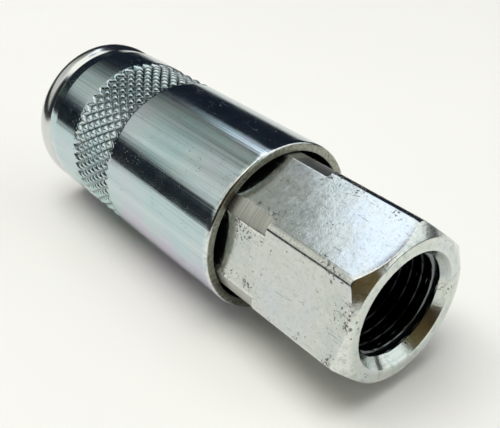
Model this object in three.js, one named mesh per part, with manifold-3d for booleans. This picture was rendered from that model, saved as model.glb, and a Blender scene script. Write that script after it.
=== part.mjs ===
// A quick disconnect coupler for compressed air. The hexagon end has a G1/4 female thread, the other
// end takes a plug, and pulling the knurled sleeve back towards the hexagon frees the locking balls.
//
// Millimetres, +Z up. The coupler lies on its sleeve with its axis along X and the plug end at +X.
// Inside the group, a station is a distance along the axis from the hexagon's end face.

import * as THREE from "three";
import { mergeVertices } from "three/addons/utils/BufferGeometryUtils.js";
import Module from "manifold-3d";

const wasm = await Module();
wasm.setup();

// ---- Driving dimensions -------------------------------------------------------------------------

const LENGTH = 58.1; // hexagon end face to the front of the nose
const SLEEVE_RADIUS = 10.5;
const SIDES = 32; // flats round a turned surface
const BALL_COUNT = 6;
const RECESS_SLOPE = 0.25; // rise of the ball recess, over run
const OVERRUN = 1; // how far a cutting shape reaches past what it cuts

const thread = { minorRadius: 5.84, majorRadius: 6.58, pitch: 1.337, turns: 8, start: 1.34 };

const hexagon = {
  apothem: 8.5, // a 17 mm spanner
  cornerRadius: 9.73,
  tilt: THREE.MathUtils.degToRad(14.2), // a flat's normal above +Y
  turnedFrom: 13, // the corners are turned down from here, to pass under the sleeve
  turnedRadius: 9.26,
  shoulder: 24,
  faceRadius: 8.15, // where the end chamfer meets the end face
  chamferEnd: 1.39,
  mouthRadius: 6.85, // countersink of the thread
  boreRadius: 4,
  boreFrom: 14.2,
  threadFloor: 12.9,
  spigotRadius: 6,
  spigotEnd: 27.7,
};

const bodySealGroove = { from: 24.6, to: 26, radius: 5 };

const tube = {
  from: 24.3,
  radius: 7.4,
  chamberRadius: 6.2, // holds the valve stack, loaded from the rear
  chamberEnd: 43.6,
  plugRadius: 5.1,
  leadInFrom: 57,
};

// The ring that closes the sleeve's front. Its rear shoulder slopes, so a shallow valley lies between them.
const nose = { from: 55.4, rearRadius: 10.05, shoulder: 56.3, radius: 10.45, edge: 0.5 };

const ball = { station: 47, radius: 1.6, orbit: 5.85 };
const pocket = { lipRadius: 1.5, radius: 1.75, sides: 16 };

const sleeve = {
  from: 19.07,
  taperFrom: 53.2, // the front narrows towards the nose ring
  to: 55.1,
  frontRadius: 10.1,
  edge: 0.42,
  skirtRadius: 9.4,
  shoulder: 37.1,
  landRadius: 7.6, // holds the balls in
  recessRadius: 8.6, // lets them out
};

const thrustWasher = { from: 36, thickness: 0.8, innerRadius: 7.6, outerRadius: 9.2 };

const sleeveSpring = {
  from: 24.3, to: 35.7, coilRadius: 8.4, wireRadius: 0.6, turns: 5, stepsPerTurn: 14, wireSides: 8,
};
const valveSpring = {
  from: 29.6, to: 36.3, coilRadius: 3.4, wireRadius: 0.3, turns: 4.5, stepsPerTurn: 14, wireSides: 6,
};

// The valve stack, from the front of the chamber to the rear.
const STACK_RADIUS = 6.05; // outside of every ring in the chamber
const plugSeal = { from: 41.7, to: 43.3, innerRadius: 4.6, edge: 0.35 };
const seat = { from: 38.6, to: 41.4, innerRadius: 4.2, bevelRadius: 4.9, grooveRadius: 5.1 };
const seatGroove = { from: 39.4, to: 40.6 };
const cage = { from: 29.6, to: 38.3, innerRadius: 5.4 };
const guide = { from: 28, to: 29.3, rimRadius: 5.2, hubRadius: 2.2, holeRadius: 1.25, armWidth: 1.3 };
const GUIDE_ARMS = 3;

const stem = {
  from: 27, radius: 1, headFrom: 36.6, headTo: 37.5, headRadius: 4.7, tip: 41.2, tipRadius: 1.35,
};
const valveSeal = { from: 37.7, to: 38.4, innerRadius: 1.7, outerRadius: 4.7, edge: 0.25 };
const valveNose = { from: 38.7, to: 42.2, radius: 3.9, hubRadius: 2.3, holeRadius: 1.6, holeTo: 41.5 };
const NOSE_WINGS = 4;
const WING_WIDTH = 1.5;

const bodySeal = { station: 25.3, meanRadius: 5.6, sectionRadius: 0.45 };
const seatSeal = { station: 40, meanRadius: 5.65, sectionRadius: 0.4 };
const SEAL_SECTION_SIDES = 6;

// ---- Materials ----------------------------------------------------------------------------------

const finish = (color, metalness, roughness) => () =>
  new THREE.MeshStandardMaterial({ color, metalness, roughness });

const zincPlate = finish(0xb9c2c6, 1, 0.25);
const hexZinc = finish(0xaab2b0, 1, 0.38);
const springSteel = finish(0x9a9da3, 1, 0.35);
const ballSteel = finish(0xc4c7cc, 1, 0.12);
const brass = finish(0xb5953f, 1, 0.3);
const rubber = finish(0x1b1b1c, 0, 0.7);

// ---- Solids -------------------------------------------------------------------------------------

function solid(geometry) {
  const bare = geometry.clone();
  bare.deleteAttribute("normal");
  bare.deleteAttribute("uv");
  const merged = mergeVertices(bare, 1e-4);
  return new wasm.Manifold(
    new wasm.Mesh({
      numProp: 3,
      vertProperties: merged.attributes.position.array,
      triVerts: new Uint32Array(merged.index.array),
    }),
  );
}

function geometryOf(made) {
  const mesh = made.getMesh();
  const geometry = new THREE.BufferGeometry();
  geometry.setAttribute("position", new THREE.BufferAttribute(mesh.vertProperties, 3));
  geometry.setIndex(new THREE.BufferAttribute(mesh.triVerts, 1));
  geometry.computeVertexNormals();
  return geometry;
}

// The corner radius of a turned polygon whose flats lie at this radius. Bores use it, so that a round
// neighbour inside them stays clear at every angle, and so does the sleeve, which lies on a flat.
const onFlats = (radius) => radius / Math.cos(Math.PI / SIDES);

// A body of revolution about the coupler's axis, from [station, radius] points. One flat faces down.
function turned(profile) {
  const points = profile.map(([station, radius]) => new THREE.Vector2(radius, station));
  return new THREE.LatheGeometry(points, SIDES, Math.PI / SIDES).rotateZ(-Math.PI / 2);
}

// A ring of four corners, with its inner and outer edges chamfered by edge where that isn't zero.
function ring(from, to, innerRadius, outerRadius, edge = 0) {
  const inner = onFlats(innerRadius);
  if (edge === 0) {
    return turned([[from, inner], [from, outerRadius], [to, outerRadius], [to, inner], [from, inner]]);
  }
  return turned([
    [from, inner + edge],
    [from, outerRadius - edge],
    [from + edge, outerRadius],
    [to - edge, outerRadius],
    [to, outerRadius - edge],
    [to, inner + edge],
    [to - edge, inner],
    [from + edge, inner],
    [from, inner + edge],
  ]);
}

function oRing({ station, meanRadius, sectionRadius }) {
  const profile = [];
  for (let i = 0; i <= SEAL_SECTION_SIDES; i++) {
    const angle = (-2 * Math.PI * i) / SEAL_SECTION_SIDES;
    profile.push([
      station + sectionRadius * Math.cos(angle),
      meanRadius - sectionRadius * Math.sin(angle),
    ]);
  }
  profile[SEAL_SECTION_SIDES] = profile[0];
  return turned(profile.reverse());
}

// A compression coil whose first and last turns lie close, as a spring's dead coils do.
class Coil extends THREE.Curve {
  constructor({ from, to, coilRadius, wireRadius, turns }) {
    super();
    this.coilRadius = coilRadius;
    this.turns = turns;
    this.from = from + wireRadius;
    this.rise = to - from - 2 * wireRadius;
    this.deadTurns = 0.75;
    this.deadPitch = 2.2 * wireRadius;
    this.livePitch = (this.rise - 2 * this.deadTurns * this.deadPitch) / (turns - 2 * this.deadTurns);
  }

  getPoint(t, target = new THREE.Vector3()) {
    const turn = t * this.turns;
    const liveEnd = this.turns - this.deadTurns;
    const dead = Math.min(turn, this.deadTurns) + Math.max(turn - liveEnd, 0);
    const live = THREE.MathUtils.clamp(turn, this.deadTurns, liveEnd) - this.deadTurns;
    const station = this.from + dead * this.deadPitch + live * this.livePitch;
    const angle = 2 * Math.PI * turn;
    return target.set(station, this.coilRadius * Math.cos(angle), this.coilRadius * Math.sin(angle));
  }
}

function coilSpring(spring) {
  const section = new THREE.Shape();
  for (let i = 0; i < spring.wireSides; i++) {
    const angle = (2 * Math.PI * i) / spring.wireSides;
    const corner = [spring.wireRadius * Math.cos(angle), spring.wireRadius * Math.sin(angle)];
    if (i === 0) section.moveTo(...corner);
    else section.lineTo(...corner);
  }
  section.closePath();
  return new THREE.ExtrudeGeometry(section, {
    steps: Math.round(spring.turns * spring.stepsPerTurn),
    extrudePath: new Coil(spring),
    bevelEnabled: false,
  });
}

// A bar across the axis, from one radius to another, turned to an angle about the axis.
function radialBar({ from, to, width, innerRadius, outerRadius, angle }) {
  return new THREE.BoxGeometry(to - from, outerRadius - innerRadius, width)
    .translate((from + to) / 2, (innerRadius + outerRadius) / 2, 0)
    .rotateX(angle);
}

// ---- Sub-parts ----------------------------------------------------------------------------------

function hexBody() {
  const groove = bodySealGroove;
  const frontEdge = 0.4;
  const profile = [
    [0, hexagon.mouthRadius],
    [0, hexagon.faceRadius],
    [hexagon.chamferEnd, hexagon.cornerRadius],
    [hexagon.turnedFrom, hexagon.cornerRadius],
    [hexagon.turnedFrom, hexagon.turnedRadius],
    [hexagon.shoulder - frontEdge, hexagon.turnedRadius],
    [hexagon.shoulder, hexagon.turnedRadius - frontEdge],
    [hexagon.shoulder, hexagon.spigotRadius],
    [groove.from, hexagon.spigotRadius],
    [groove.from, groove.radius],
    [groove.to, groove.radius],
    [groove.to, hexagon.spigotRadius],
    [hexagon.spigotEnd, hexagon.spigotRadius],
    [hexagon.spigotEnd, hexagon.boreRadius],
    [hexagon.boreFrom, hexagon.boreRadius],
    [hexagon.threadFloor, onFlats(thread.minorRadius)],
  ];
  // The thread's grooves, one ring to each pitch.
  for (let turn = thread.turns; turn > 0; turn--) {
    const front = thread.start + turn * thread.pitch;
    profile.push([front, onFlats(thread.minorRadius)]);
    profile.push([front - thread.pitch / 2, onFlats(thread.majorRadius)]);
  }
  profile.push([thread.start, onFlats(thread.minorRadius)]);
  profile.push(profile[0]);

  const cornerRadius = hexagon.apothem / Math.cos(Math.PI / 6);
  const length = hexagon.spigotEnd + 2 * OVERRUN;
  const bar = new THREE.CylinderGeometry(cornerRadius, cornerRadius, length, 6)
    .rotateZ(-Math.PI / 2)
    .translate(length / 2 - OVERRUN, 0, 0)
    .rotateX(hexagon.tilt);
  return geometryOf(solid(turned(profile)).intersect(solid(bar)));
}

const ballAngle = (index) => ((index + 0.5) * 2 * Math.PI) / BALL_COUNT;

// The tapered hole that a ball sits in: its lip is narrower than the ball, so the ball can't fall in.
function pocketTool(index) {
  const slope = (pocket.radius - pocket.lipRadius) / (ball.orbit - tube.plugRadius);
  const depth = tube.plugRadius - OVERRUN;
  const top = tube.radius + OVERRUN;
  const points = [
    [0, depth],
    [pocket.lipRadius - OVERRUN * slope, depth],
    [pocket.radius, ball.orbit],
    [pocket.radius, top],
    [0, top],
  ].map(([radius, height]) => new THREE.Vector2(radius, height));
  return new THREE.LatheGeometry(points, pocket.sides)
    .rotateX(ballAngle(index))
    .translate(ball.station, 0, 0);
}

function socketBody() {
  const profile = [
    [tube.from, onFlats(tube.chamberRadius)],
    [tube.from, tube.radius],
    [nose.from, tube.radius],
    [nose.from, nose.rearRadius],
    [nose.shoulder, nose.radius],
    [LENGTH - nose.edge, nose.radius],
    [LENGTH, nose.radius - nose.edge],
    [LENGTH, onFlats(tube.plugRadius + LENGTH - tube.leadInFrom)],
    [tube.leadInFrom, onFlats(tube.plugRadius)],
    [tube.chamberEnd, onFlats(tube.plugRadius)],
    [tube.chamberEnd, onFlats(tube.chamberRadius)],
  ];
  profile.push(profile[0]);
  let made = solid(turned(profile));
  for (let index = 0; index < BALL_COUNT; index++) {
    made = made.subtract(solid(pocketTool(index)));
  }
  return geometryOf(made);
}

function sleeveShell() {
  const recessEnd = ball.station + (sleeve.recessRadius - sleeve.landRadius) / RECESS_SLOPE;
  const edge = sleeve.edge;
  const profile = [
    [sleeve.from, sleeve.skirtRadius + edge],
    [sleeve.from, SLEEVE_RADIUS - edge],
    [sleeve.from + edge, SLEEVE_RADIUS],
    [sleeve.taperFrom, SLEEVE_RADIUS],
    [sleeve.to, sleeve.frontRadius],
    [sleeve.to, sleeve.recessRadius],
    [recessEnd, sleeve.recessRadius],
    [ball.station, sleeve.landRadius],
    [sleeve.shoulder, sleeve.landRadius],
    [sleeve.shoulder, sleeve.skirtRadius],
    [sleeve.from + edge, sleeve.skirtRadius],
  ].map(([station, radius]) => [station, onFlats(radius)]);
  profile.push(profile[0]);
  return turned(profile);
}

function valveSeat() {
  const profile = [
    [seat.from, onFlats(seat.bevelRadius)],
    [seat.from, STACK_RADIUS],
    [seatGroove.from, STACK_RADIUS],
    [seatGroove.from, seat.grooveRadius],
    [seatGroove.to, seat.grooveRadius],
    [seatGroove.to, STACK_RADIUS],
    [seat.to, STACK_RADIUS],
    [seat.to, onFlats(seat.innerRadius)],
    [seat.from + seat.bevelRadius - seat.innerRadius, onFlats(seat.innerRadius)],
  ];
  profile.push(profile[0]);
  return turned(profile);
}

function valveGuide() {
  const { from, to } = guide;
  let made = solid(ring(from, to, guide.rimRadius, STACK_RADIUS));
  made = made.add(solid(ring(from, to, guide.holeRadius, guide.hubRadius)));
  for (let arm = 0; arm < GUIDE_ARMS; arm++) {
    const bar = radialBar({
      from,
      to,
      width: guide.armWidth,
      innerRadius: (guide.holeRadius + guide.hubRadius) / 2,
      outerRadius: (guide.rimRadius + STACK_RADIUS) / 2,
      angle: Math.PI / 2 + (2 * Math.PI * arm) / GUIDE_ARMS,
    });
    made = made.add(solid(bar));
  }
  return geometryOf(made);
}

function valveStem() {
  const headEdge = 0.2;
  return turned([
    [stem.from, 0],
    [stem.from, stem.radius - headEdge],
    [stem.from + headEdge, stem.radius],
    [stem.headFrom, stem.radius],
    [stem.headFrom, stem.headRadius - headEdge],
    [stem.headFrom + headEdge, stem.headRadius],
    [stem.headTo, stem.headRadius],
    [stem.headTo, stem.tipRadius],
    [stem.tip, stem.tipRadius],
    [stem.tip, 0],
  ]);
}

// The wings keep the valve straight in its seat, and the plug pushes on their front edges.
function valveNosePiece() {
  const frontEdge = 0.6;
  const envelope = turned([
    [valveNose.from, 0],
    [valveNose.from, valveNose.radius],
    [valveNose.to - frontEdge, valveNose.radius],
    [valveNose.to, valveNose.radius - frontEdge],
    [valveNose.to, 0],
  ]);
  const hole = turned([
    [valveNose.from - OVERRUN, 0],
    [valveNose.from - OVERRUN, onFlats(valveNose.holeRadius)],
    [valveNose.holeTo, onFlats(valveNose.holeRadius)],
    [valveNose.holeTo, 0],
  ]);
  let star = solid(
    turned([
      [valveNose.from, 0],
      [valveNose.from, valveNose.hubRadius],
      [valveNose.to, valveNose.hubRadius],
      [valveNose.to, 0],
    ]),
  );
  for (let wing = 0; wing < NOSE_WINGS; wing++) {
    const bar = radialBar({
      from: valveNose.from,
      to: valveNose.to,
      width: WING_WIDTH,
      innerRadius: valveNose.hubRadius / 2,
      outerRadius: valveNose.radius + OVERRUN,
      angle: Math.PI / 4 + (2 * Math.PI * wing) / NOSE_WINGS,
    });
    star = star.add(solid(bar));
  }
  return geometryOf(star.intersect(solid(envelope)).subtract(solid(hole)));
}

// ---- Assembly -----------------------------------------------------------------------------------

const group = new THREE.Group();
group.position.set(-LENGTH / 2, 0, SLEEVE_RADIUS);

function add(name, geometry, material) {
  const mesh = new THREE.Mesh(geometry, material());
  mesh.name = name;
  group.add(mesh);
  return mesh;
}

add("hex_body", hexBody(), hexZinc);
add("body_o_ring", oRing(bodySeal), rubber);
add("socket_body", socketBody(), zincPlate);

add("sleeve", sleeveShell(), zincPlate);
add("sleeve_spring", coilSpring(sleeveSpring), springSteel);
add(
  "thrust_washer",
  ring(
    thrustWasher.from,
    thrustWasher.from + thrustWasher.thickness,
    thrustWasher.innerRadius,
    thrustWasher.outerRadius,
  ),
  springSteel,
);

for (let index = 0; index < BALL_COUNT; index++) {
  const mesh = add("ball_" + (index + 1), new THREE.SphereGeometry(ball.radius, 12, 8), ballSteel);
  const angle = ballAngle(index);
  mesh.position.set(ball.station, ball.orbit * Math.cos(angle), ball.orbit * Math.sin(angle));
}

add(
  "plug_seal",
  ring(plugSeal.from, plugSeal.to, plugSeal.innerRadius, STACK_RADIUS, plugSeal.edge),
  rubber,
);
add("valve_seat", valveSeat(), brass);
add("seat_o_ring", oRing(seatSeal), rubber);
add("valve_cage", ring(cage.from, cage.to, cage.innerRadius, STACK_RADIUS), brass);
add("valve_guide", valveGuide(), brass);
add("valve_spring", coilSpring(valveSpring), springSteel);

add("valve_stem", valveStem(), brass);
add(
  "valve_seal",
  ring(valveSeal.from, valveSeal.to, valveSeal.innerRadius, valveSeal.outerRadius, valveSeal.edge),
  rubber,
);
add("valve_nose", valveNosePiece(), brass);

export default group;
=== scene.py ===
import math

import bmesh
import bpy
import numpy as np
from mathutils import Matrix, Vector


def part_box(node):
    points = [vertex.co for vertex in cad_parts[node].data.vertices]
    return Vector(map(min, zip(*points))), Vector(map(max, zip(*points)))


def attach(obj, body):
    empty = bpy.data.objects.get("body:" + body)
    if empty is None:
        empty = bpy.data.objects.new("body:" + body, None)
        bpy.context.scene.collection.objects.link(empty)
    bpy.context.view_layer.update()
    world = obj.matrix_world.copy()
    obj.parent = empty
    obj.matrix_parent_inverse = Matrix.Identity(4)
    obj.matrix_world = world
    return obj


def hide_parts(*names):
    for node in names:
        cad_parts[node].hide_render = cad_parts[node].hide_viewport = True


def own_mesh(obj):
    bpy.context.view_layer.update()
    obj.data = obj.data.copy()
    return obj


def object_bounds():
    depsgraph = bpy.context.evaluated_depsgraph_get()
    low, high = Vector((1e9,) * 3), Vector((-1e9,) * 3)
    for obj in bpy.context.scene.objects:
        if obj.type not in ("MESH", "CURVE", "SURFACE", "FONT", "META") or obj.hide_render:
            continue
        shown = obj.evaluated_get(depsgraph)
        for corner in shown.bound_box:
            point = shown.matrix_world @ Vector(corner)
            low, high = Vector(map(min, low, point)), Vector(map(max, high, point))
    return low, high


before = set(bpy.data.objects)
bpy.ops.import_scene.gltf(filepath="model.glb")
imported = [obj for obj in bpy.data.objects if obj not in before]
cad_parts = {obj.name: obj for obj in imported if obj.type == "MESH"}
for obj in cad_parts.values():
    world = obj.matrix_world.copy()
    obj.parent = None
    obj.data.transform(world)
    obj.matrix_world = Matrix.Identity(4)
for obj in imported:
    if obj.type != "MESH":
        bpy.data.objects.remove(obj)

# The looks of the quick disconnect coupler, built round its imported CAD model. Sizes are in millimetres until
# the last step, when a mesh is written in metres. A station is a distance along the coupler's axis from the
# hexagon's end face, a radius is a distance from that axis, and an angle is measured about the axis from +Y
# towards +Z.

cad_low, cad_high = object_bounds()

MM = 0.001
LENGTH = (cad_high.x - cad_low.x) / MM
AXIS_HEIGHT = (cad_high.z - cad_low.z) / MM / 2


def span(node):
    """A CAD node's rear and front stations."""
    low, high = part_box(node)
    return low.x / MM + LENGTH / 2, high.x / MM + LENGTH / 2


def outer_radius(node):
    low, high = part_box(node)
    return (high.y - low.y) / MM / 2


def shown(name, data):
    """A new object with this mesh, lamp or camera, put in the scene."""
    item = bpy.data.objects.new(name, data)
    bpy.context.scene.collection.objects.link(item)
    return item


# ---- Camera ----

CAMERA_PLACE = (-63.62, 47.30, 61.50)
CAMERA_RIGHT = (-0.63634, -0.77114, -0.02061)
CAMERA_UP = (0.42532, -0.37302, 0.82459)
CAMERA_BACK = (-0.64356, 0.51595, 0.56535)
CAMERA_LENS = 55.08
SENSOR_WIDTH = 36.0


def make_camera():
    data = bpy.data.cameras.new("camera")
    data.lens = CAMERA_LENS
    data.sensor_width = SENSOR_WIDTH
    data.clip_start = 0.001
    camera = shown("camera", data)
    columns = zip(CAMERA_RIGHT, CAMERA_UP, CAMERA_BACK, [c * MM for c in CAMERA_PLACE])
    camera.matrix_world = Matrix([list(row) for row in columns] + [[0, 0, 0, 1]])
    bpy.context.scene.camera = camera


# ---- Node materials ----


class Nodes:
    """A short way to write a node tree: each call makes a node and returns its first output."""

    def __init__(self, tree):
        self.tree = tree
        tree.nodes.clear()

    def make(self, kind, inputs=None, output=0, **settings):
        node = self.tree.nodes.new("ShaderNode" + kind)
        for name, value in settings.items():
            setattr(node, name, value)
        for name, value in (inputs or {}).items():
            self.put(node.inputs[name], value)
        self.last = node
        return node.outputs[output] if node.outputs else None

    def put(self, socket, value):
        if isinstance(value, bpy.types.NodeSocket):
            self.tree.links.new(value, socket)
        elif socket.type == "RGBA" and len(value) == 3:
            socket.default_value = (*value, 1)
        else:
            socket.default_value = value

    def math(self, operation, a, b=0.0):
        return self.make("Math", {0: a, 1: b}, operation=operation)

    def times(self, a, b):
        return self.math("MULTIPLY", a, b)

    def most(self, a, b):
        return self.math("MAXIMUM", a, b)

    def linear(self, value, factor, offset):
        return self.make("Math", {0: value, 1: factor, 2: offset}, operation="MULTIPLY_ADD")

    def ramp(self, value, *stops):
        """A colour ramp through (position, colour or grey level) stops."""
        out = self.make("ValToRGB", {0: value})
        elements = self.last.color_ramp.elements
        while len(elements) < len(stops):
            elements.new(1)
        for element, (position, level) in zip(elements, stops):
            element.position = position
            element.color = (*level, 1) if isinstance(level, tuple) else (level, level, level, 1)
        return out

    def step(self, value, low, high):
        """0 below low, 1 above high, smooth between."""
        inputs = {"Value": value, "From Min": low, "From Max": high}
        return self.make("MapRange", inputs, interpolation_type="SMOOTHSTEP")

    def between(self, value, low, high, soft):
        """1 between low and high, 0 outside them, smooth over soft to each side."""
        rise = self.step(value, low - soft, low + soft)
        return self.times(rise, self.step(value, high + soft, high - soft))

    def mix(self, factor, a, b, blend="MIX"):
        inputs = {0: factor, 6: a, 7: b}
        return self.make("Mix", inputs, output=2, data_type="RGBA", blend_type=blend)

    def lay(self, under, over, where, strength):
        """The colour over laid on the colour under, as strongly as where times strength."""
        return self.mix(self.times(where, strength), under, over)

    def noise(self, vector, scale, detail=2.0, roughness=0.5, distortion=0.0):
        inputs = {"Vector": vector, "Scale": scale, "Detail": detail, "Roughness": roughness}
        return self.make("TexNoise", {**inputs, "Distortion": distortion})

    def scaled(self, vector, x, y, z, turn=(0, 0, 0)):
        return self.make("Mapping", {"Vector": vector, "Scale": (x, y, z), "Rotation": turn})

    def parts(self, vector):
        self.make("SeparateXYZ", {"Vector": vector})
        return self.last.outputs

    def attribute(self, name):
        return self.make("Attribute", output="Fac", attribute_name=name)

    def bumps(self, *layers):
        """A normal from (height, micrometres) or (height, micrometres, strength) layers, one on another."""
        normal = None
        for height, distance, *strength in layers:
            inputs = {"Height": height, "Distance": distance * 1e-6, "Strength": (*strength, 1.0)[0]}
            if normal is not None:
                inputs["Normal"] = normal
            normal = self.make("Bump", inputs)
        return normal

    def principled(self, **inputs):
        shader = self.make("BsdfPrincipled", {k.replace("_", " "): v for k, v in inputs.items()})
        self.make("OutputMaterial", {"Surface": shader})
        return self.material

    def metal(self, colour, rough, *layers):
        return self.principled(Base_Color=colour, Metallic=1.0, Roughness=rough, Normal=self.bumps(*layers))


def new_material(name):
    """The nodes of a new material, and the place on the object."""
    material = bpy.data.materials.new(name)
    material.use_nodes = True
    nodes = Nodes(material.node_tree)
    nodes.material = material
    return nodes, nodes.make("TexCoord", output="Object")


def tool_rings(n, place, scale):
    """Noise in rings round the axis, like the marks of a turning tool."""
    x, y, z = n.parts(place)
    height = n.math("SUBTRACT", z, AXIS_HEIGHT * MM)
    radius = n.math("SQRT", n.math("ADD", n.times(y, y), n.times(height, height)))
    spread = n.make("CombineXYZ", {"X": n.times(x, scale), "Y": n.times(radius, scale)})
    return n.noise(spread, 1.0, 3.0, 0.6)


def pits(n, place, scale, share):
    """1 in scattered small pits, 0 elsewhere. share is how much of the surface they take."""
    cells = n.make("TexVoronoi", {"Vector": place, "Scale": scale, "Randomness": 1.0})
    patch = n.noise(place, scale * 0.12, 3.0)
    size = n.times(n.step(patch, 0.5, 0.72), share)
    return n.math("LESS_THAN", cells, size)


def scratches(n, place, across, along, turn, threshold):
    """1 along fine bent lines that run the way of turn, 0 elsewhere."""
    stretched = n.scaled(place, along, across, across, turn)
    line = n.noise(stretched, 1.0, 3.0, 0.6, 0.9)
    return n.step(line, threshold, threshold + 0.05)


def band(n, along, start, end, soft):
    """1 between two stations along the object, 0 outside them."""
    low, high = [(station - LENGTH / 2) * MM for station in (start, end)]
    return n.between(along, low, high, soft * MM)


def zinc_sleeve():
    """Blue-passivated zinc with lengthwise streaks, tints and pits, a satin band and a dull rear rim."""
    n, place = new_material("zinc_sleeve")
    along, _, height = n.parts(place)
    streak = n.noise(n.scaled(place, 16, 900, 900), 1.0, 4.0, 0.6)
    fine = n.noise(n.scaled(place, 24, 2600, 2600), 1.0, 3.0, 0.6)
    broad = n.noise(n.scaled(place, 8, 260, 260), 1.0, 2.0)
    colour = n.ramp(
        n.noise(place, 95, 2.0),
        (0.36, (0.44, 0.60, 0.64)),
        (0.48, (0.50, 0.62, 0.64)),
        (0.58, (0.53, 0.60, 0.65)),
        (0.68, (0.51, 0.62, 0.60)),
    )
    colour = n.lay(colour, (0.66, 0.73, 0.74), n.step(streak, 0.45, 0.75), 0.5)
    colour = n.lay(colour, (0.27, 0.33, 0.34), n.step(fine, 0.50, 0.68), 0.42)

    # The passivation shows lavender and green patches low on the sleeve.
    low = n.step(height, 0.0115, 0.0070)
    patch = n.noise(place, 130, 2.0)
    for hue, full in (((0.60, 0.52, 0.71), 0.60), ((0.42, 0.65, 0.61), 0.40)):
        colour = n.lay(colour, hue, n.times(low, n.step(patch, 0.50, full)), 0.7)

    pit = n.most(pits(n, place, 2300, 0.20), pits(n, place, 4200, 0.26))
    worn = n.times(n.attribute("edge"), n.step(n.noise(place, 1800, 3.0), 0.35, 0.6))
    colour = n.lay(colour, (0.86, 0.86, 0.83), worn, 0.7)
    colour = n.lay(colour, (0.10, 0.11, 0.12), pit, 0.55)
    rough = n.linear(n.noise(place, 320, 4.0, 0.6), 0.16, 0.06)
    rough = n.most(rough, n.times(pit, 0.5))

    # The knurled band is satin, where the tool pressed it.
    half = KNURL_ROWS * KNURL_LENGTH / 4
    knurled = band(n, along, KNURL_MIDDLE - half - 0.3, KNURL_MIDDLE + half + 0.3, 0.15)
    rough = n.most(rough, n.times(knurled, KNURL_ROUGHNESS))

    # Painted shade darkens the knurl's grooves, most where they are deepest, in patches.
    groove_shade = n.times(n.attribute("near"), n.step(n.noise(place, 2000, 3.0), 0.2, 0.6))
    colour = n.lay(colour, (0.09, 0.10, 0.10), groove_shade, 0.8)

    # The rear rim is a dull cut face.
    grain = n.noise(place, 2600, 4.0, 0.65)
    rim = band(n, along, SLEEVE_REAR - 1, SLEEVE_REAR + 0.05, 0.04)
    cut = n.mix(n.step(grain, 0.30, 0.70), (0.20, 0.20, 0.16), (0.42, 0.43, 0.37))
    colour = n.mix(rim, colour, cut)
    rough = n.most(rough, n.times(rim, 0.36))

    layers = (streak, 22), (fine, 11), (broad, 45), (n.times(rim, grain), 12)
    return n.metal(colour, rough, *layers, (n.math("SUBTRACT", 1.0, pit), 10, 0.6))


def zinc_nose():
    """Polished zinc with fine rings from turning."""
    n, place = new_material("zinc_nose")
    haze = n.noise(place, 420, 4.0, 0.6)
    rings = tool_rings(n, place, 7000)
    tint = n.noise(place, 120, 2.0)
    colour = n.ramp(tint, (0.35, (0.62, 0.66, 0.64)), (0.5, (0.70, 0.72, 0.70)), (0.65, (0.67, 0.68, 0.74)))
    worn = n.times(n.attribute("edge"), n.step(haze, 0.4, 0.7))
    colour = n.mix(worn, colour, (0.84, 0.84, 0.80))
    rough = n.linear(haze, 0.16, 0.10)
    colour = n.lay(colour, (0.42, 0.44, 0.43), n.step(rings, 0.5, 0.7), 0.3)
    return n.metal(colour, rough, (rings, 4), (haze, 12))


def hex_flats():
    """Satin zinc on drawn hexagon bar: fine swirls, hairlines, and jagged dark nicks near the edges."""
    n, place = new_material("hex_flats")
    swirl = n.noise(place, 2600, 4.0, 0.6, 0.8)
    mottle = n.noise(place, 900, 5.0, 0.65)
    cloud = n.noise(place, 140, 3.0)
    colour = n.ramp(
        cloud, (0.35, (0.54, 0.59, 0.57)), (0.5, (0.60, 0.63, 0.60)), (0.65, (0.58, 0.63, 0.66))
    )
    colour = n.lay(colour, (0.66, 0.69, 0.67), n.step(mottle, 0.45, 0.7), 0.7)
    colour = n.lay(colour, (0.36, 0.39, 0.36), n.step(swirl, 0.5, 0.72), 0.5)
    edge, near = n.attribute("edge"), n.attribute("near")
    cluster = n.step(n.noise(place, 350, 2.0), 0.42, 0.66)
    jag = n.noise(place, 2400, 4.0, 0.75, 0.5)
    reach = n.times(cluster, n.linear(near, 0.11, 0.06))
    nick = n.step(n.math("ADD", jag, reach), 0.685, 0.705)
    hair = scratches(n, place, 2600, 260, (0.3, 0.5, 0.9), 0.69)
    hair = n.most(hair, scratches(n, place, 2400, 300, (0.9, -0.7, 0.2), 0.69))
    hair = n.most(hair, scratches(n, place, 3600, 420, (-0.4, 0.8, 1.9), 0.68))
    dark = n.most(nick, n.times(hair, 0.45))
    worn = n.times(n.step(edge, 0.3, 0.9), n.step(n.noise(place, 3800, 3.0), 0.3, 0.6))
    colour = n.lay(colour, (0.88, 0.88, 0.85), worn, 0.6)
    colour = n.lay(colour, (0.12, 0.12, 0.10), dark, 0.75)
    rough = n.linear(mottle, 0.18, 0.07)
    rough = n.most(rough, n.times(dark, 0.6))
    layers = (swirl, 7), (mottle, 10), (cloud, 60)
    return n.metal(colour, rough, *layers, (n.math("SUBTRACT", 1.0, dark), 20, 0.7))


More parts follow.
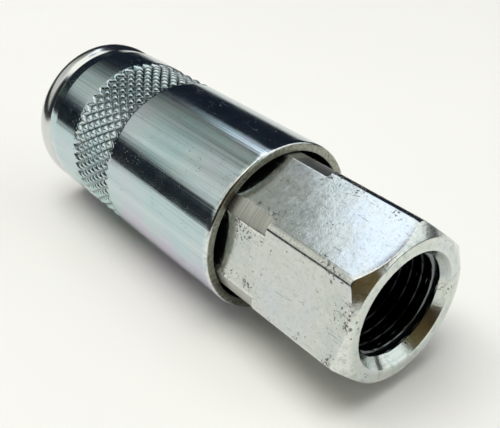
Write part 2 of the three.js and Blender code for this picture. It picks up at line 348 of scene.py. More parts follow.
def hex_turned():
    """The hexagon's end face, chamfer and countersink, with tool rings, stains and small pits."""
    n, place = new_material("hex_turned")
    cut = tool_rings(n, place, 6500)
    haze = n.noise(place, 700, 4.0, 0.6)
    tint = n.noise(place, 160, 2.0)
    colour = n.ramp(
        tint, (0.38, (0.60, 0.66, 0.62)), (0.52, (0.66, 0.70, 0.65)), (0.66, (0.63, 0.69, 0.70))
    )
    worn = n.times(n.attribute("edge"), n.step(n.noise(place, 3800, 3.0), 0.35, 0.6))
    colour = n.lay(colour, (0.86, 0.86, 0.82), worn, 0.5)
    stain = n.step(n.noise(place, 1100, 4.0, 0.7), 0.50, 0.66)
    colour = n.lay(colour, (0.33, 0.42, 0.38), stain, 0.55)
    speck = n.most(pits(n, place, 1700, 0.34), pits(n, place, 3300, 0.30))
    colour = n.lay(colour, (0.10, 0.10, 0.08), speck, 0.75)
    rough = n.linear(haze, 0.2, 0.10)
    colour = n.lay(colour, (0.40, 0.43, 0.40), n.step(cut, 0.5, 0.7), 0.3)
    return n.metal(colour, rough, (cut, 6), (haze, 34), (n.math("SUBTRACT", 1.0, speck), 20, 0.7))


def hex_neck():
    """The corners turned down under the sleeve: grey, with a tool line every 0.2 mm or so."""
    n, place = new_material("hex_neck")
    rings = n.noise(n.scaled(place, 5200, 120, 120), 1.0, 3.0, 0.7)
    colour = n.mix(n.step(rings, 0.35, 0.65), (0.46, 0.47, 0.43), (0.62, 0.63, 0.59))
    rough = n.linear(n.noise(place, 900, 4.0, 0.6), 0.2, 0.28)
    return n.metal(colour, rough, (rings, 8))


def thread_bore():
    """The threaded hole: grey at its mouth, then painted shade makes it nearly black further in."""
    n, place = new_material("thread_bore")
    low, high = [(station - LENGTH / 2) * MM for station in (0.5, 3.8)]
    depth = n.step(n.parts(place)[0], low, high)
    haze = n.noise(place, 900, 4.0, 0.6)
    # Painted shade: the colour falls to nearly black deeper in the hole.
    colour = n.mix(depth, (0.26, 0.30, 0.30), (0.022, 0.022, 0.025))
    rough = n.linear(haze, 0.14, 0.15)
    return n.metal(colour, rough, (haze, 6))


def turned_metal(name, dark, light, rough_low, rough_span, stain):
    """A small turned or drawn inner piece, with tool rings and stains."""
    n, place = new_material(name)
    rings = tool_rings(n, place, 6500)
    haze = n.noise(place, 700, 4.0, 0.6)
    colour = n.ramp(haze, (0.35, dark), (0.62, light))
    colour = n.lay(colour, stain, pits(n, place, 1500, 0.25), 0.6)
    rough = n.linear(haze, rough_span, rough_low)
    return n.metal(colour, rough, (rings, 5))


def seal_rubber():
    n, place = new_material("seal_rubber")
    grain = n.noise(place, 2600, 4.0, 0.7)
    dust = n.noise(place, 500, 3.0)
    colour = n.mix(n.step(dust, 0.5, 0.75), (0.012, 0.012, 0.013), (0.045, 0.044, 0.042))
    rough = n.linear(grain, 0.25, 0.42)
    return n.principled(Base_Color=colour, Roughness=rough, Normal=n.bumps((grain, 12)))


# ---- Outlines and meshes ----

ARC_STEPS = 5
WEAR_REACH = 0.28  # how far wear spreads from an edge
SHARP_ANGLE = math.radians(32)


def round_angles(count):
    return np.arange(count) * 2 * math.pi / count


def unit(vector):
    return vector / np.linalg.norm(vector)


def arc(before, corner, after, fillet):
    """The points of a fillet at corner, between the corners before and after it."""
    corner = np.array(corner, float)
    back, on = unit(np.array(before) - corner), unit(np.array(after) - corner)
    turn = math.acos(np.clip(-back @ on, -1, 1))
    centre = corner + unit(back + on) * fillet / math.cos(turn / 2)
    start = corner + back * fillet * math.tan(turn / 2) - centre
    end = corner + on * fillet * math.tan(turn / 2) - centre
    points = []
    for t in np.arange(ARC_STEPS + 1) / ARC_STEPS:
        way = start * math.sin((1 - t) * turn) + end * math.sin(t * turn)
        points.append(tuple(centre + way / math.sin(turn)))
    return points


def rounded(corners):
    """The outline through (station, radius, fillet) corners."""
    points = []
    for i, (station, radius, fillet) in enumerate(corners):
        if fillet == 0:
            points.append((station, radius))
        else:
            after = corners[(i + 1) % len(corners)]
            points += arc(corners[i - 1][:2], (station, radius), after[:2], fillet)
    return points


def supported(outline, closed=True):
    """The outline with extra points near the ends of its long stretches, to hold the wear there."""
    points = []
    ends = outline[1:] + (outline[:1] if closed else [])
    for start, end in zip(outline, ends):
        points.append(start)
        a, b = np.array(start), np.array(end)
        length = np.linalg.norm(b - a)
        if length > 4 * WEAR_REACH:
            for reach in (WEAR_REACH, 2 * WEAR_REACH, length - 2 * WEAR_REACH, length - WEAR_REACH):
                points.append(tuple(a + (b - a) * reach / length))
    if not closed:
        points.append(outline[-1])
    return points


def edge_levels(outline, closed=True):
    """How close each outline point is to a corner: 1 at a corner and 0 far from one."""
    points = np.array(outline)
    back = points - np.roll(points, 1, 0)
    on = np.roll(points, -1, 0) - points
    size = np.linalg.norm(back, axis=1) * np.linalg.norm(on, axis=1) + 1e-12
    turn = np.arccos(np.clip((back * on).sum(1) / size, -1, 1))
    corner = turn > math.radians(7)
    if not closed:
        corner[[0, -1]] = False
    away = np.linalg.norm(points[:, None] - points[corner][None], axis=2).min(1)
    return np.exp(-((away / WEAR_REACH) ** 2))


def placed(station, radius, angle):
    """Vertices in metres, in the row frame."""
    station, radius, angle = np.broadcast_arrays(station, radius, angle)
    x = station - LENGTH / 2
    y = radius * np.cos(angle)
    z = AXIS_HEIGHT + radius * np.sin(angle)
    return np.stack([x, y, z], -1).reshape(-1, 3) * MM


def radial(station, out, side, angle):
    """Vertices in metres, out from the axis at an angle about it, and to one side of that line."""
    y = out * math.cos(angle) - side * math.sin(angle)
    z = out * math.sin(angle) + side * math.cos(angle) + AXIS_HEIGHT
    return np.stack([station - LENGTH / 2, y, z], -1).reshape(-1, 3) * MM


def grid_faces(rows, columns, close_rows=True):
    """Quads of a rows x columns grid of vertices that closes round its columns."""
    last = rows if close_rows else rows - 1
    row, column = np.meshgrid(np.arange(last), np.arange(columns), indexing="ij")
    up, side = (row + 1) % rows, (column + 1) % columns
    corners = [row * columns + column, row * columns + side, up * columns + side, up * columns + column]
    return np.stack(corners, -1).reshape(-1, 4)


def mesh_piece(name, vertices, faces, edge=None, sharp=SHARP_ANGLE, near=None):
    """A closed mesh object with its faces pointing out, smooth but for its sharp edges."""
    mesh = bpy.data.meshes.new(name)
    mesh.from_pydata(vertices.tolist(), [], [tuple(int(i) for i in face) for face in faces])
    for title, levels in (("edge", edge), ("near", near)):
        if levels is not None:
            level = mesh.attributes.new(title, "FLOAT", "POINT")
            level.data.foreach_set("value", np.asarray(levels, np.float32))
    clean_up(mesh)
    finish_shading(mesh, sharp)
    return shown(name, mesh)


def clean_up(mesh):
    work = bmesh.new()
    work.from_mesh(mesh)
    bmesh.ops.remove_doubles(work, verts=work.verts, dist=1e-7)
    bmesh.ops.dissolve_degenerate(work, edges=work.edges, dist=1e-8)
    bmesh.ops.recalc_face_normals(work, faces=work.faces)
    work.to_mesh(mesh)
    work.free()


def finish_shading(mesh, sharp=SHARP_ANGLE):
    """Smooth shading, but for edges sharper than an angle."""
    mesh.shade_smooth()
    mesh.set_sharp_from_angle(angle=sharp)


def turned(name, outline, columns, closed=True):
    """A body of revolution from an outline that closes on itself, or that starts and ends on the axis."""
    outline = supported(outline, closed)
    points = np.array(outline)
    vertices = placed(points[:, :1], points[:, 1:], round_angles(columns))
    edge = np.repeat(edge_levels(outline, closed), columns)
    return mesh_piece(name, vertices, grid_faces(len(points), columns, closed), edge)


def turned_piece(name, corners, body, slot, node, columns=128, closed=True):
    """A turned piece in a CAD node's place, from its outline's (station, radius, fillet) corners."""
    return dress(turned(name, rounded(corners), columns, closed), body, slot, node)


def boolean(piece, other, operation):
    """piece with other added, cut away or kept in common. other is used up."""
    modifier = piece.modifiers.new("cut", "BOOLEAN")
    modifier.object = other
    modifier.operation = operation
    modifier.solver = "EXACT"
    evaluated = piece.evaluated_get(bpy.context.evaluated_depsgraph_get())
    mesh = bpy.data.meshes.new_from_object(evaluated)
    piece.modifiers.clear()
    piece.data = mesh
    mesh.name = piece.name
    bpy.data.objects.remove(other)
    clean_up(mesh)
    finish_shading(mesh)
    return piece


def dress(piece, body, slot, *nodes):
    """Gives a piece its slot's material, if it has none, and says what it replaces and rides on."""
    if not piece.data.materials:
        piece.data.materials.append(MATERIALS[slot])
    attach(piece, body)
    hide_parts(*nodes)
    return piece


# ---- Sleeve ----

SLEEVE_RADIUS = outer_radius("sleeve")
SLEEVE_REAR, SLEEVE_FRONT = span("sleeve")
SKIRT_RADIUS = 9.4
SLEEVE_SHOULDER = 37.1
LAND_RADIUS = 7.6
BALL_STATION = 47.0
RECESS_RADIUS, RECESS_FROM = 8.6, 51.0
TAPER_RADIUS, TAPER_FROM = 10.26, 53.2

KNURLS_ROUND = 48  # grooves of each slant
KNURL_LENGTH = 1.92  # from one crossing to the next along the sleeve
KNURL_ROWS = 8  # half pitches along the band
KNURL_MARGIN = 2  # smooth half pitches at each side of it
KNURL_MIDDLE = 43.77
KNURL_DEPTH = 0.34
KNURL_DOME = 0.13
KNURL_ROUGHNESS = 0.26
KNURL_STEPS = (0, 0.06, 0.14, 0.22, 0.31, 0.5, 0.69, 0.78, 0.86, 0.94)  # across a pitch, from a groove
KNURL_REACH = (KNURL_ROWS // 2 + KNURL_MARGIN) * len(KNURL_STEPS)  # rows of vertices, middle to edge
GROOVE_FLOOR, GROOVE_RIM = 0.01, 0.30


def groove(distance):
    """A groove's depth, 0 to 1, at a distance from its middle in pitches."""
    t = np.clip((distance - GROOVE_FLOOR) / (GROOVE_RIM - GROOVE_FLOOR), 0, 1)
    return 1 - t * t * (3 - 2 * t)


def pitches(index):
    """How many pitches along or round the lattice a row of vertices lies."""
    count = len(KNURL_STEPS)
    return index // count + np.array(KNURL_STEPS)[index % count]


def knurl():
    """The knurled band as a lattice that follows the grooves. Returns its vertices' stations, radii, angles,
    edge levels and groove depths, and its faces."""
    around = KNURLS_ROUND * len(KNURL_STEPS)
    reach = KNURL_REACH
    row, column = np.meshgrid(np.arange(-reach, reach + 1), np.arange(around), indexing="ij")
    a, b = pitches(row + column), pitches(column)
    from_a, from_b = abs(a - np.round(a)), abs(b - np.round(b))
    past = np.maximum(abs(a - b) - KNURL_ROWS / 2, 0)
    inside = np.maximum(groove(from_a), groove(from_b))
    end = np.where(past < 0.6, groove(np.maximum(from_a, from_b)), 0)
    depth = np.where(past > 0, end, inside)
    dome = 4 * from_a * from_b
    flat = np.clip(past * 2, 0, 1)
    sink = KNURL_DOME * (1 - dome) * (1 - flat) * (1 - depth)
    radius = SLEEVE_RADIUS - KNURL_DEPTH * depth - sink
    station = KNURL_MIDDLE + (a - b) / 2 * KNURL_LENGTH
    angle = (a + b) / 2 * (2 * math.pi / KNURLS_ROUND)
    rim = np.exp(-(((1 - depth) - 0.85) / 0.2) ** 2) * (depth > 0.001)

    faces = []

    def at(r, c):
        return (r + reach) * around + c % around

    for r in range(-reach, reach + 1):
        for c in range(around):
            corners = [(r, c), (r + 1, c), (r, c + 1), (r - 1, c + 1)]
            faces.append(tuple(at(*corner) for corner in corners if abs(corner[0]) <= reach))
    return station, radius, angle, rim, depth, faces


def sleeve_outline():
    """From the knurled band's front edge round the front, and through the inside to the band's rear edge."""
    front = SLEEVE_FRONT + 0.15
    return [
        (TAPER_FROM - 0.9, SLEEVE_RADIUS, 0),
        (TAPER_FROM, SLEEVE_RADIUS, 1.2),
        (front, TAPER_RADIUS, 0.16),
        (front, RECESS_RADIUS, 0.15),
        (RECESS_FROM, RECESS_RADIUS, 0.5),
        (BALL_STATION, LAND_RADIUS, 0.3),
        (SLEEVE_SHOULDER, LAND_RADIUS, 0.2),
        (SLEEVE_SHOULDER, SKIRT_RADIUS, 0.15),
        (SLEEVE_REAR, SKIRT_RADIUS, 0.22),
        (SLEEVE_REAR, SLEEVE_RADIUS, 0.3),
        (SLEEVE_REAR + 0.9, SLEEVE_RADIUS, 0),
    ]


def make_sleeve():
    """The sleeve: the knurled band, and the turned outline that joins its two edges."""
    station, radius, angle, rim, depth, faces = knurl()
    width, around = station.shape
    outline = supported(rounded(sleeve_outline()), closed=False)
    points = np.array(outline)
    ring_angle = pitches(np.arange(around)) * 2 * math.pi / KNURLS_ROUND
    rings = placed(points[:, :1], points[:, 1:], ring_angle)
    vertices = np.concatenate([placed(station, radius, angle), rings])
    edge = np.concatenate([rim.reshape(-1), np.repeat(edge_levels(outline, closed=False), around)])
    # How deep in a knurl groove each vertex lies, which sets the painted shade in the grooves.
    groove_shade = np.concatenate([(depth**2).reshape(-1), np.zeros(len(rings))])
    first = width * around
    faces += list(grid_faces(len(points), around, False) + first)

    # The band's front edge is turned forwards by half its width in pitches, and its rear edge back as much.
    turn = KNURL_REACH // 2
    last = first + (len(points) - 1) * around
    for c in range(around):
        on = (c + 1) % around
        for band_row, ring_row, shift in (((width - 1) * around, first, -turn), (0, last, turn)):
            lattice, lattice_on = band_row + (c + shift) % around, band_row + (on + shift) % around
            faces.append((lattice, lattice_on, ring_row + on, ring_row + c))
    piece = mesh_piece("knurled_sleeve", vertices, faces, edge, near=groove_shade)
    return dress(piece, "sleeve", "zinc_sleeve", "sleeve")


# ---- Hexagon body ----

APOTHEM = 8.5
HEX_TILT = math.radians(14.2)
CORNER_FILLET = 1.1
TURNED_FROM = 13.0
TURNED_RADIUS = 9.26
HEX_SHOULDER = 24.0
FACE_RADIUS = 8.15
CHAMFER_SLOPE = 1.137
MOUTH_RADIUS = 6.85
MOUTH_SLOPE = 0.754
THREAD_MINOR, THREAD_MAJOR, THREAD_PITCH = 5.84, 6.58, 1.337
THREAD_END = 12.0
THREAD_FLOOR = 12.9
BORE_RADIUS, BORE_FROM = 4.0, 14.2
SPIGOT_RADIUS, SPIGOT_END, SPIGOT_CHAMFER = 6.0, span("hex_body")[1], 0.3
SEAL_GROOVE = (24.6, 26.0, 5.0)  # from, to and radius
FACE_FILLET, CHAMFER_FILLET = 0.4, 0.24
THREAD_FROM, THREAD_FADE = 0.7, 0.6  # where the thread starts, and over what length it grows
THREAD_STEPS = 18  # rows of vertices in a pitch near the mouth, where they show
DEEP_THREAD_STEPS, DEEP_FROM = 8, 6
FAR = 9  # stands for no edge nearby
NECK_HALF_WIDTH = 1.07  # half the width of a corner as it is turned down
NECK_HALF_ANGLE = math.radians(23.3)  # from a flat's middle to the turned-down corner
HEX_SHARP_ANGLE = math.radians(24)
HEX_FINISHES = ("hex_flats", "hex_turned", "thread_bore", "hex_neck")
FLATS, TURNED, BORE, NECK = range(4)

# Degrees from a hexagon corner to each column of vertices, up to the middle of the flat.
CORNER_COLUMNS = (0, 0.5, 1, 1.5, 2, 2.5, 3, 3.31, 3.8, 4.5, 5.5, 6.2, 6.63, 7.2, 9, 12, 16, 22, 30)
FLAT_ROWS = (3, 4.5, 7, 9.5, 11.5, 12.5)
NECK_ROWS = (15, 18, 21)
ROLL_LENGTH, ROLL_DEPTH = 0.9, 0.055  # how the flats roll over towards the end chamfer
ROLL_STEPS = (0.15, 0.35, 0.6, 1)
NICK_REACH = 1.3  # how far the nicks spread from an edge


def hex_columns():
    """Each column's angle about the axis and its angle from the nearest corner."""
    offset = np.radians(CORNER_COLUMNS)
    side = np.concatenate([-offset[-2::-1], offset[1:]])
    middle = HEX_TILT + (np.arange(6) + 0.5) * math.pi / 3
    return (middle[:, None] + side).reshape(-1), np.tile(abs(side), 6)


def hex_radius(offset):
    """The hexagon's radius at an angle from a corner, with the corner's fillet."""
    centre = (APOTHEM - CORNER_FILLET) / math.cos(math.pi / 6)
    tangent = math.atan2(centre * 0.5, APOTHEM)
    if offset < math.pi / 6 - tangent:
        return centre * math.cos(offset) + math.sqrt(CORNER_FILLET**2 - (centre * math.sin(offset)) ** 2)
    return APOTHEM / math.cos(math.pi / 6 - offset)


def thread_radius(station, angle):
    """The threaded hole's radius: a right-hand thread, cut away at its mouth by the countersink."""
    turn = (station / THREAD_PITCH - angle / (2 * math.pi)) % 1
    level = np.clip(1.5 * (1 - abs(2 * turn - 1)) - 0.35, 0, 1)
    level = level * level * (3 - 2 * level)
    run_out = np.clip((THREAD_END - station) / THREAD_PITCH, 0, 1)
    start = np.clip((station - THREAD_FROM) / THREAD_FADE, 0, 1)
    radius = THREAD_MINOR + (THREAD_MAJOR - THREAD_MINOR) * level * (run_out * start)
    return np.maximum(radius, MOUTH_RADIUS - MOUTH_SLOPE * station)


def hex_outline(offset):
    """The outline at an angle from a corner, from the mouth round the outside to the bore."""
    groove_from, groove_to, groove_radius = SEAL_GROOVE
    full = hex_radius(offset)
    low = min(full, TURNED_RADIUS)
    drop = full - low
    rolled = full - ROLL_DEPTH
    edge = (rolled - FACE_RADIUS) / CHAMFER_SLOPE
    rolls = [(edge + ROLL_LENGTH * t, full - ROLL_DEPTH * (1 - t) ** 2) for t in ROLL_STEPS]
    return [
        *((0.0, radius) for radius in (MOUTH_RADIUS + 0.12, MOUTH_RADIUS + 0.4, FACE_RADIUS - 0.45)),
        *arc((0, MOUTH_RADIUS), (0, FACE_RADIUS), (edge, rolled), FACE_FILLET),
        *arc((0, FACE_RADIUS), (edge, rolled), rolls[0], CHAMFER_FILLET),
        *rolls,
        *((station, full) for station in FLAT_ROWS),
        (TURNED_FROM - 0.05, full),
        (TURNED_FROM, full - min(drop, 0.05)),
        (TURNED_FROM + 0.02, low + min(drop, 0.03)),
        (TURNED_FROM + 0.06, low),
        *((station, low) for station in (*NECK_ROWS, HEX_SHOULDER - 0.4)),
        (HEX_SHOULDER, min(low, TURNED_RADIUS - 0.4)),
        *((HEX_SHOULDER, radius) for radius in (7.5, SPIGOT_RADIUS)),
        *((groove_from, radius) for radius in (SPIGOT_RADIUS, groove_radius)),
        *((groove_to, radius) for radius in (groove_radius, SPIGOT_RADIUS)),
        (SPIGOT_END - SPIGOT_CHAMFER, SPIGOT_RADIUS),
        (SPIGOT_END, SPIGOT_RADIUS - SPIGOT_CHAMFER),
        (SPIGOT_END, BORE_RADIUS + SPIGOT_CHAMFER),
        (SPIGOT_END - SPIGOT_CHAMFER, BORE_RADIUS),
        (BORE_FROM, BORE_RADIUS),
        (THREAD_FLOOR, THREAD_MINOR),
    ]


def hex_wear(station, radius, offset):
    """Levels of wear and of nicks on the hexagon's outside, by the distance from an edge."""
    full = np.array([hex_radius(angle) for angle in offset])
    slant = math.hypot(1, CHAMFER_SLOPE)
    along_chamfer = abs(station - (full - ROLL_DEPTH - FACE_RADIUS) / CHAMFER_SLOPE)
    face_edge = np.hypot(station, radius - FACE_RADIUS)
    chamfer_edge = np.where(radius < full - ROLL_DEPTH - 0.02, along_chamfer * slant, along_chamfer)
    mouth_edge = np.hypot(station, radius - MOUTH_RADIUS)
    across = radius * np.sin(offset)
    ridge = np.where(station > 0.3, across, FAR)
    step = np.where(full > TURNED_RADIUS + 0.001, abs(station - TURNED_FROM), FAR)
    side = np.where(station > TURNED_FROM, abs(across - NECK_HALF_WIDTH), FAR)
    wear = np.minimum.reduce([face_edge, chamfer_edge, mouth_edge, ridge * 0.8, step, side])
    nicks = np.minimum.reduce([chamfer_edge, ridge, step, side])
    exposed = station < HEX_SHOULDER - 1
    reaches = ((wear, WEAR_REACH), (nicks, NICK_REACH))
    return [np.where(exposed, np.exp(-((away / reach) ** 2)), 0) for away, reach in reaches]


def make_hex_body():
    """The hexagon body: its outside and its bore as one closed grid of vertices."""
    angles, offsets = hex_columns()
    outer = np.array([hex_outline(offset) for offset in offsets]).transpose(1, 0, 2)
    wear, nicks = hex_wear(outer[..., 0], outer[..., 1], offsets)

    deep = np.arange(THREAD_FLOOR - 0.1, DEEP_FROM, -THREAD_PITCH / DEEP_THREAD_STEPS)
    near = np.arange(deep[-1] - 0.08, 0.05, -THREAD_PITCH / THREAD_STEPS)
    thread_station = np.concatenate([deep, near, [0.08]])
    station = np.repeat(thread_station[:, None], len(angles), 1)
    inner = np.stack([station, thread_radius(station, angles)], -1)
    rows = np.concatenate([outer, inner])
    vertices = placed(rows[..., 0], rows[..., 1], angles)
    none = np.zeros(inner.shape[:2])
    wear, nicks = [np.concatenate([levels, none]).reshape(-1) for levels in (wear, nicks)]
    faces = grid_faces(len(rows), len(angles))
    piece = mesh_piece("hexagon_body", vertices, faces, wear, HEX_SHARP_ANGLE, nicks)
    for name in HEX_FINISHES:
        piece.data.materials.append(MATERIALS[name])
    paint_hexagon(piece)
    return dress(piece, "body", "zinc_hexagon", "hex_body")


def paint_hexagon(piece):
    """Gives each face its finish: the flats, the turned end, the hole, or the turned-down corners."""
    mesh = piece.data
    centres = np.zeros(len(mesh.polygons) * 3)
    mesh.polygons.foreach_get("center", centres)
    x, y, z = centres.reshape(-1, 3).T / MM
    station, height = x + LENGTH / 2, z - AXIS_HEIGHT
    radius, angle = np.hypot(y, height), np.arctan2(height, y) - HEX_TILT
    from_flat = abs((angle + math.pi / 6) % (math.pi / 3) - math.pi / 6)
    surface = APOTHEM / np.cos(from_flat)
    on_flat = (radius > surface - 0.4) & (station > 0.2)
    chamfered = radius < FACE_RADIUS + CHAMFER_SLOPE * station - 0.05
    finish = np.where(on_flat & chamfered, FLATS, TURNED)
    neck = (station > TURNED_FROM) & (radius > TURNED_RADIUS - 0.03) & (from_flat > NECK_HALF_ANGLE)
    finish[neck] = NECK
    countersink = MOUTH_RADIUS - MOUTH_SLOPE * station
    bore = (radius < countersink - 0.02) | (radius < THREAD_MAJOR + 0.02) & (station > 0.4)
    bore &= (station < HEX_SHOULDER) & (abs(radius - countersink) >= 0.03)
    finish[bore] = BORE
    mesh.polygons.foreach_set("material_index", finish.astype(np.int32))


# ---- Socket body ----

SOCKET_REAR, SOCKET_FRONT = span("socket_body")
TUBE_RADIUS = 7.4
CHAMBER_RADIUS, CHAMBER_END = 6.2, 43.6
PLUG_RADIUS = 5.1
LEAD_IN_FROM = 57.0
NOSE_REAR = 55.3
NOSE_REAR_RADIUS = 9.98
NOSE_CREST = 56.8
NOSE_RADIUS = 10.49
NOSE_FACE_RADIUS = 9.5
NOSE_BULGE = 0.8  # below 1 the front's curve is fuller than an ellipse
NOSE_EDGE = 0.06
REAR_STEPS, FRONT_STEPS = 9, 14  # points on the ring's outline behind its crest and before it
BALLS = 6
BALL_RADIUS = 1.6
BALL_ORBIT = 5.85
POCKET_LIP, POCKET_RADIUS = 1.5, 1.75
POCKET_REACH = (4.6, 8.2)  # from and to, from the axis


def ball_angle(index):
    return (index + 0.5) * 2 * math.pi / BALLS


def pocket_cutter(index):
    """A tapered hole's shape, which keeps a ball from falling into the bore."""
    slope = (POCKET_RADIUS - POCKET_LIP) / (BALL_ORBIT - PLUG_RADIUS)
    low, high = POCKET_REACH
    lip = POCKET_LIP - (PLUG_RADIUS - low) * slope
    points = np.array([(0, low), (lip, low), (POCKET_RADIUS, BALL_ORBIT), (POCKET_RADIUS, high), (0, high)])
    sides = 40
    turn = round_angles(sides)
    along, across = points[:, :1] * np.cos(turn), points[:, :1] * np.sin(turn)
    out = np.repeat(points[:, 1:], sides, 1)
    vertices = radial(BALL_STATION + along, out, across, ball_angle(index))
    return mesh_piece("pocket", vertices, grid_faces(len(points), sides, False))


def nose_ring():
    """The outline of the sleeve's closing ring: a low arc up to its crest, then round to the face."""
    rise = NOSE_RADIUS - NOSE_REAR_RADIUS
    run = NOSE_CREST - NOSE_REAR
    bend = (run**2 + rise**2) / (2 * rise)
    points = []
    for step in range(REAR_STEPS):
        station = NOSE_REAR + NOSE_EDGE + (run - NOSE_EDGE) * step / REAR_STEPS
        points.append((station, NOSE_RADIUS - bend + math.sqrt(bend**2 - (NOSE_CREST - station) ** 2)))
    for step in range(FRONT_STEPS + 1):
        turn = math.pi / 2 * (1 - step / FRONT_STEPS)
        station = NOSE_CREST + (SOCKET_FRONT - NOSE_CREST) * max(math.cos(turn), 0) ** NOSE_BULGE
        height = (NOSE_RADIUS - NOSE_FACE_RADIUS) * math.sin(turn) ** NOSE_BULGE
        points.append((station, NOSE_FACE_RADIUS + height))
    return points


def make_socket_body():
    mouth = [
        (SOCKET_FRONT, NOSE_FACE_RADIUS, 0),
        (SOCKET_FRONT, PLUG_RADIUS + SOCKET_FRONT - LEAD_IN_FROM, 0.15),
        (LEAD_IN_FROM, PLUG_RADIUS, 0.3),
        (CHAMBER_END, PLUG_RADIUS, 0.1),
        (CHAMBER_END, CHAMBER_RADIUS, 0.1),
        (SOCKET_REAR, CHAMBER_RADIUS, 0.15),
        (SOCKET_REAR, TUBE_RADIUS, 0.2),
        (NOSE_REAR, TUBE_RADIUS, 0.1),
        (NOSE_REAR, NOSE_REAR_RADIUS, 0),
    ]
    piece = turned("plug_socket", nose_ring() + rounded(mouth)[1:], 192)
    for index in range(BALLS):
        piece = boolean(piece, pocket_cutter(index), "DIFFERENCE")
    return dress(piece, "body", "zinc_nose", "socket_body")


def make_balls():
    for index in range(BALLS):
        node = f"ball_{index + 1}"
        mesh = bpy.data.meshes.new(f"locking_ball_{index + 1}")
        work = bmesh.new()
        bmesh.ops.create_icosphere(work, subdivisions=4, radius=BALL_RADIUS * MM)
        centre = placed(BALL_STATION, BALL_ORBIT, ball_angle(index))[0]
        bmesh.ops.translate(work, verts=work.verts, vec=centre)
        work.to_mesh(mesh)
        work.free()
        mesh.shade_smooth()
        dress(shown(mesh.name, mesh), node, "ball_steel", node)


# ---- Springs and washer ----


SPRING_SEAT = 0.2  # how far a spring's ends reach past its CAD node's
TURN_STEPS, WIRE_SIDES = 40, 14
DEAD_TURNS, DEAD_PITCH = 0.8, 2.15  # of the closed ends, the pitch in wire radii


def coil(name, start, end, coil_radius, wire_radius, turns):
    """A compression spring with closed ends, its wire swept along a helix."""
    steps = int(turns * TURN_STEPS)
    dead_pitch = DEAD_PITCH * wire_radius
    t = np.linspace(0, turns, steps + 1)
    rise = end - start - 2 * wire_radius
    live_pitch = (rise - 2 * DEAD_TURNS * dead_pitch) / (turns - 2 * DEAD_TURNS)
    ends = np.minimum(t, DEAD_TURNS) + np.maximum(t - (turns - DEAD_TURNS), 0)
    live = np.clip(t - DEAD_TURNS, 0, turns - 2 * DEAD_TURNS)
    along = start + wire_radius + ends * dead_pitch + live * live_pitch
    round_wire = round_angles(WIRE_SIDES)
    radius = coil_radius + wire_radius * np.cos(round_wire)
    station = along[:, None] + wire_radius * np.sin(round_wire)
    vertices = placed(station, radius, (2 * math.pi * t)[:, None])
    faces = list(grid_faces(steps + 1, WIRE_SIDES, False))
    faces.append(tuple(range(WIRE_SIDES)))
    faces.append(tuple(steps * WIRE_SIDES + i for i in range(WIRE_SIDES)))
    return mesh_piece(name, vertices, faces)


def make_spring(name, node, coil_radius, wire_radius, turns):
    """A spring in its CAD node's place, with a mesh of its own."""
    rear, front = span(node)
    piece = coil(name, rear - SPRING_SEAT, front + SPRING_SEAT, coil_radius, wire_radius, turns)
    dress(piece, "body", "spring_steel", node)
    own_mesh(piece)


def rounded_ring(name, rear, front, inner, outer, fillet, columns=128):
    corners = [(rear, inner), (rear, outer), (front, outer), (front, inner)]
    return turned(name, rounded([(*corner, fillet) for corner in corners]), columns)


def ring(name, node, inner, outer, fillet, body, slot):
    """A plain ring where a CAD node is, with rounded edges."""
    return dress(rounded_ring(name, *span(node), inner, outer, fillet), body, slot, node)


def o_ring(name, node, mean_radius, section_radius):
    middle = sum(span(node)) / 2
    outline = []
    for angle in round_angles(20):
        station = middle + section_radius * math.cos(angle)
        outline.append((station, mean_radius + section_radius * math.sin(angle)))
    return dress(turned(name, outline, 128), "body", "seal_rubber", node)


# ---- Valve ----

STACK_RADIUS = 6.05  # outside of every ring in the chamber
SEAT_RADIUS, SEAT_MOUTH, SEAT_LENGTH = 4.2, 4.9, 0.7
SEAT_GROOVE = (39.4, 40.6, 5.1)  # from, to and radius
GUIDE_RIM, GUIDE_HUB, GUIDE_HOLE, GUIDE_ARM, GUIDE_ARMS = 5.2, 2.2, 1.25, 1.3, 3
STEM_RADIUS, STEM_TIP = 1.0, 1.35
HEAD_REAR, HEAD_FRONT, HEAD_RADIUS = 36.6, 37.5, 4.7
STAR_RADIUS, STAR_HUB, STAR_TIP = 3.9, 2.3, 0.9
STAR_HOLE, STAR_HOLE_TO, STAR_HOLE_TIP = 1.6, 41.5, 41.9
WINGS, WING_WIDTH = 4, 1.5


def make_valve_seat():
    rear, front = span("valve_seat")
    groove_from, groove_to, groove_radius = SEAT_GROOVE
    corners = [
        (rear, SEAT_MOUTH, 0.08),
        (rear, STACK_RADIUS, 0.12),
        (groove_from, STACK_RADIUS, 0.08),
        (groove_from, groove_radius, 0.1),
        (groove_to, groove_radius, 0.1),
        (groove_to, STACK_RADIUS, 0.08),
        (front, STACK_RADIUS, 0.12),
        (front, SEAT_RADIUS, 0.2),
        (rear + SEAT_LENGTH, SEAT_RADIUS, 0.1),
    ]
    turned_piece("seat_ring", corners, "body", "valve_brass", "valve_seat")


def bar(name, start, end, width, inner, outer, angle):
    """A radial bar across the axis."""
    station = np.array([start, end])[[0, 1, 1, 0, 0, 1, 1, 0]]
    out = np.array([inner] * 4 + [outer] * 4, float)
    side = np.array([-1, -1, 1, 1, -1, -1, 1, 1]) * width / 2
    faces = [(0, 1, 2, 3), (4, 5, 6, 7), (0, 1, 5, 4), (1, 2, 6, 5), (2, 3, 7, 6), (3, 0, 4, 7)]
    return mesh_piece(name, radial(station, out, side, angle), faces)


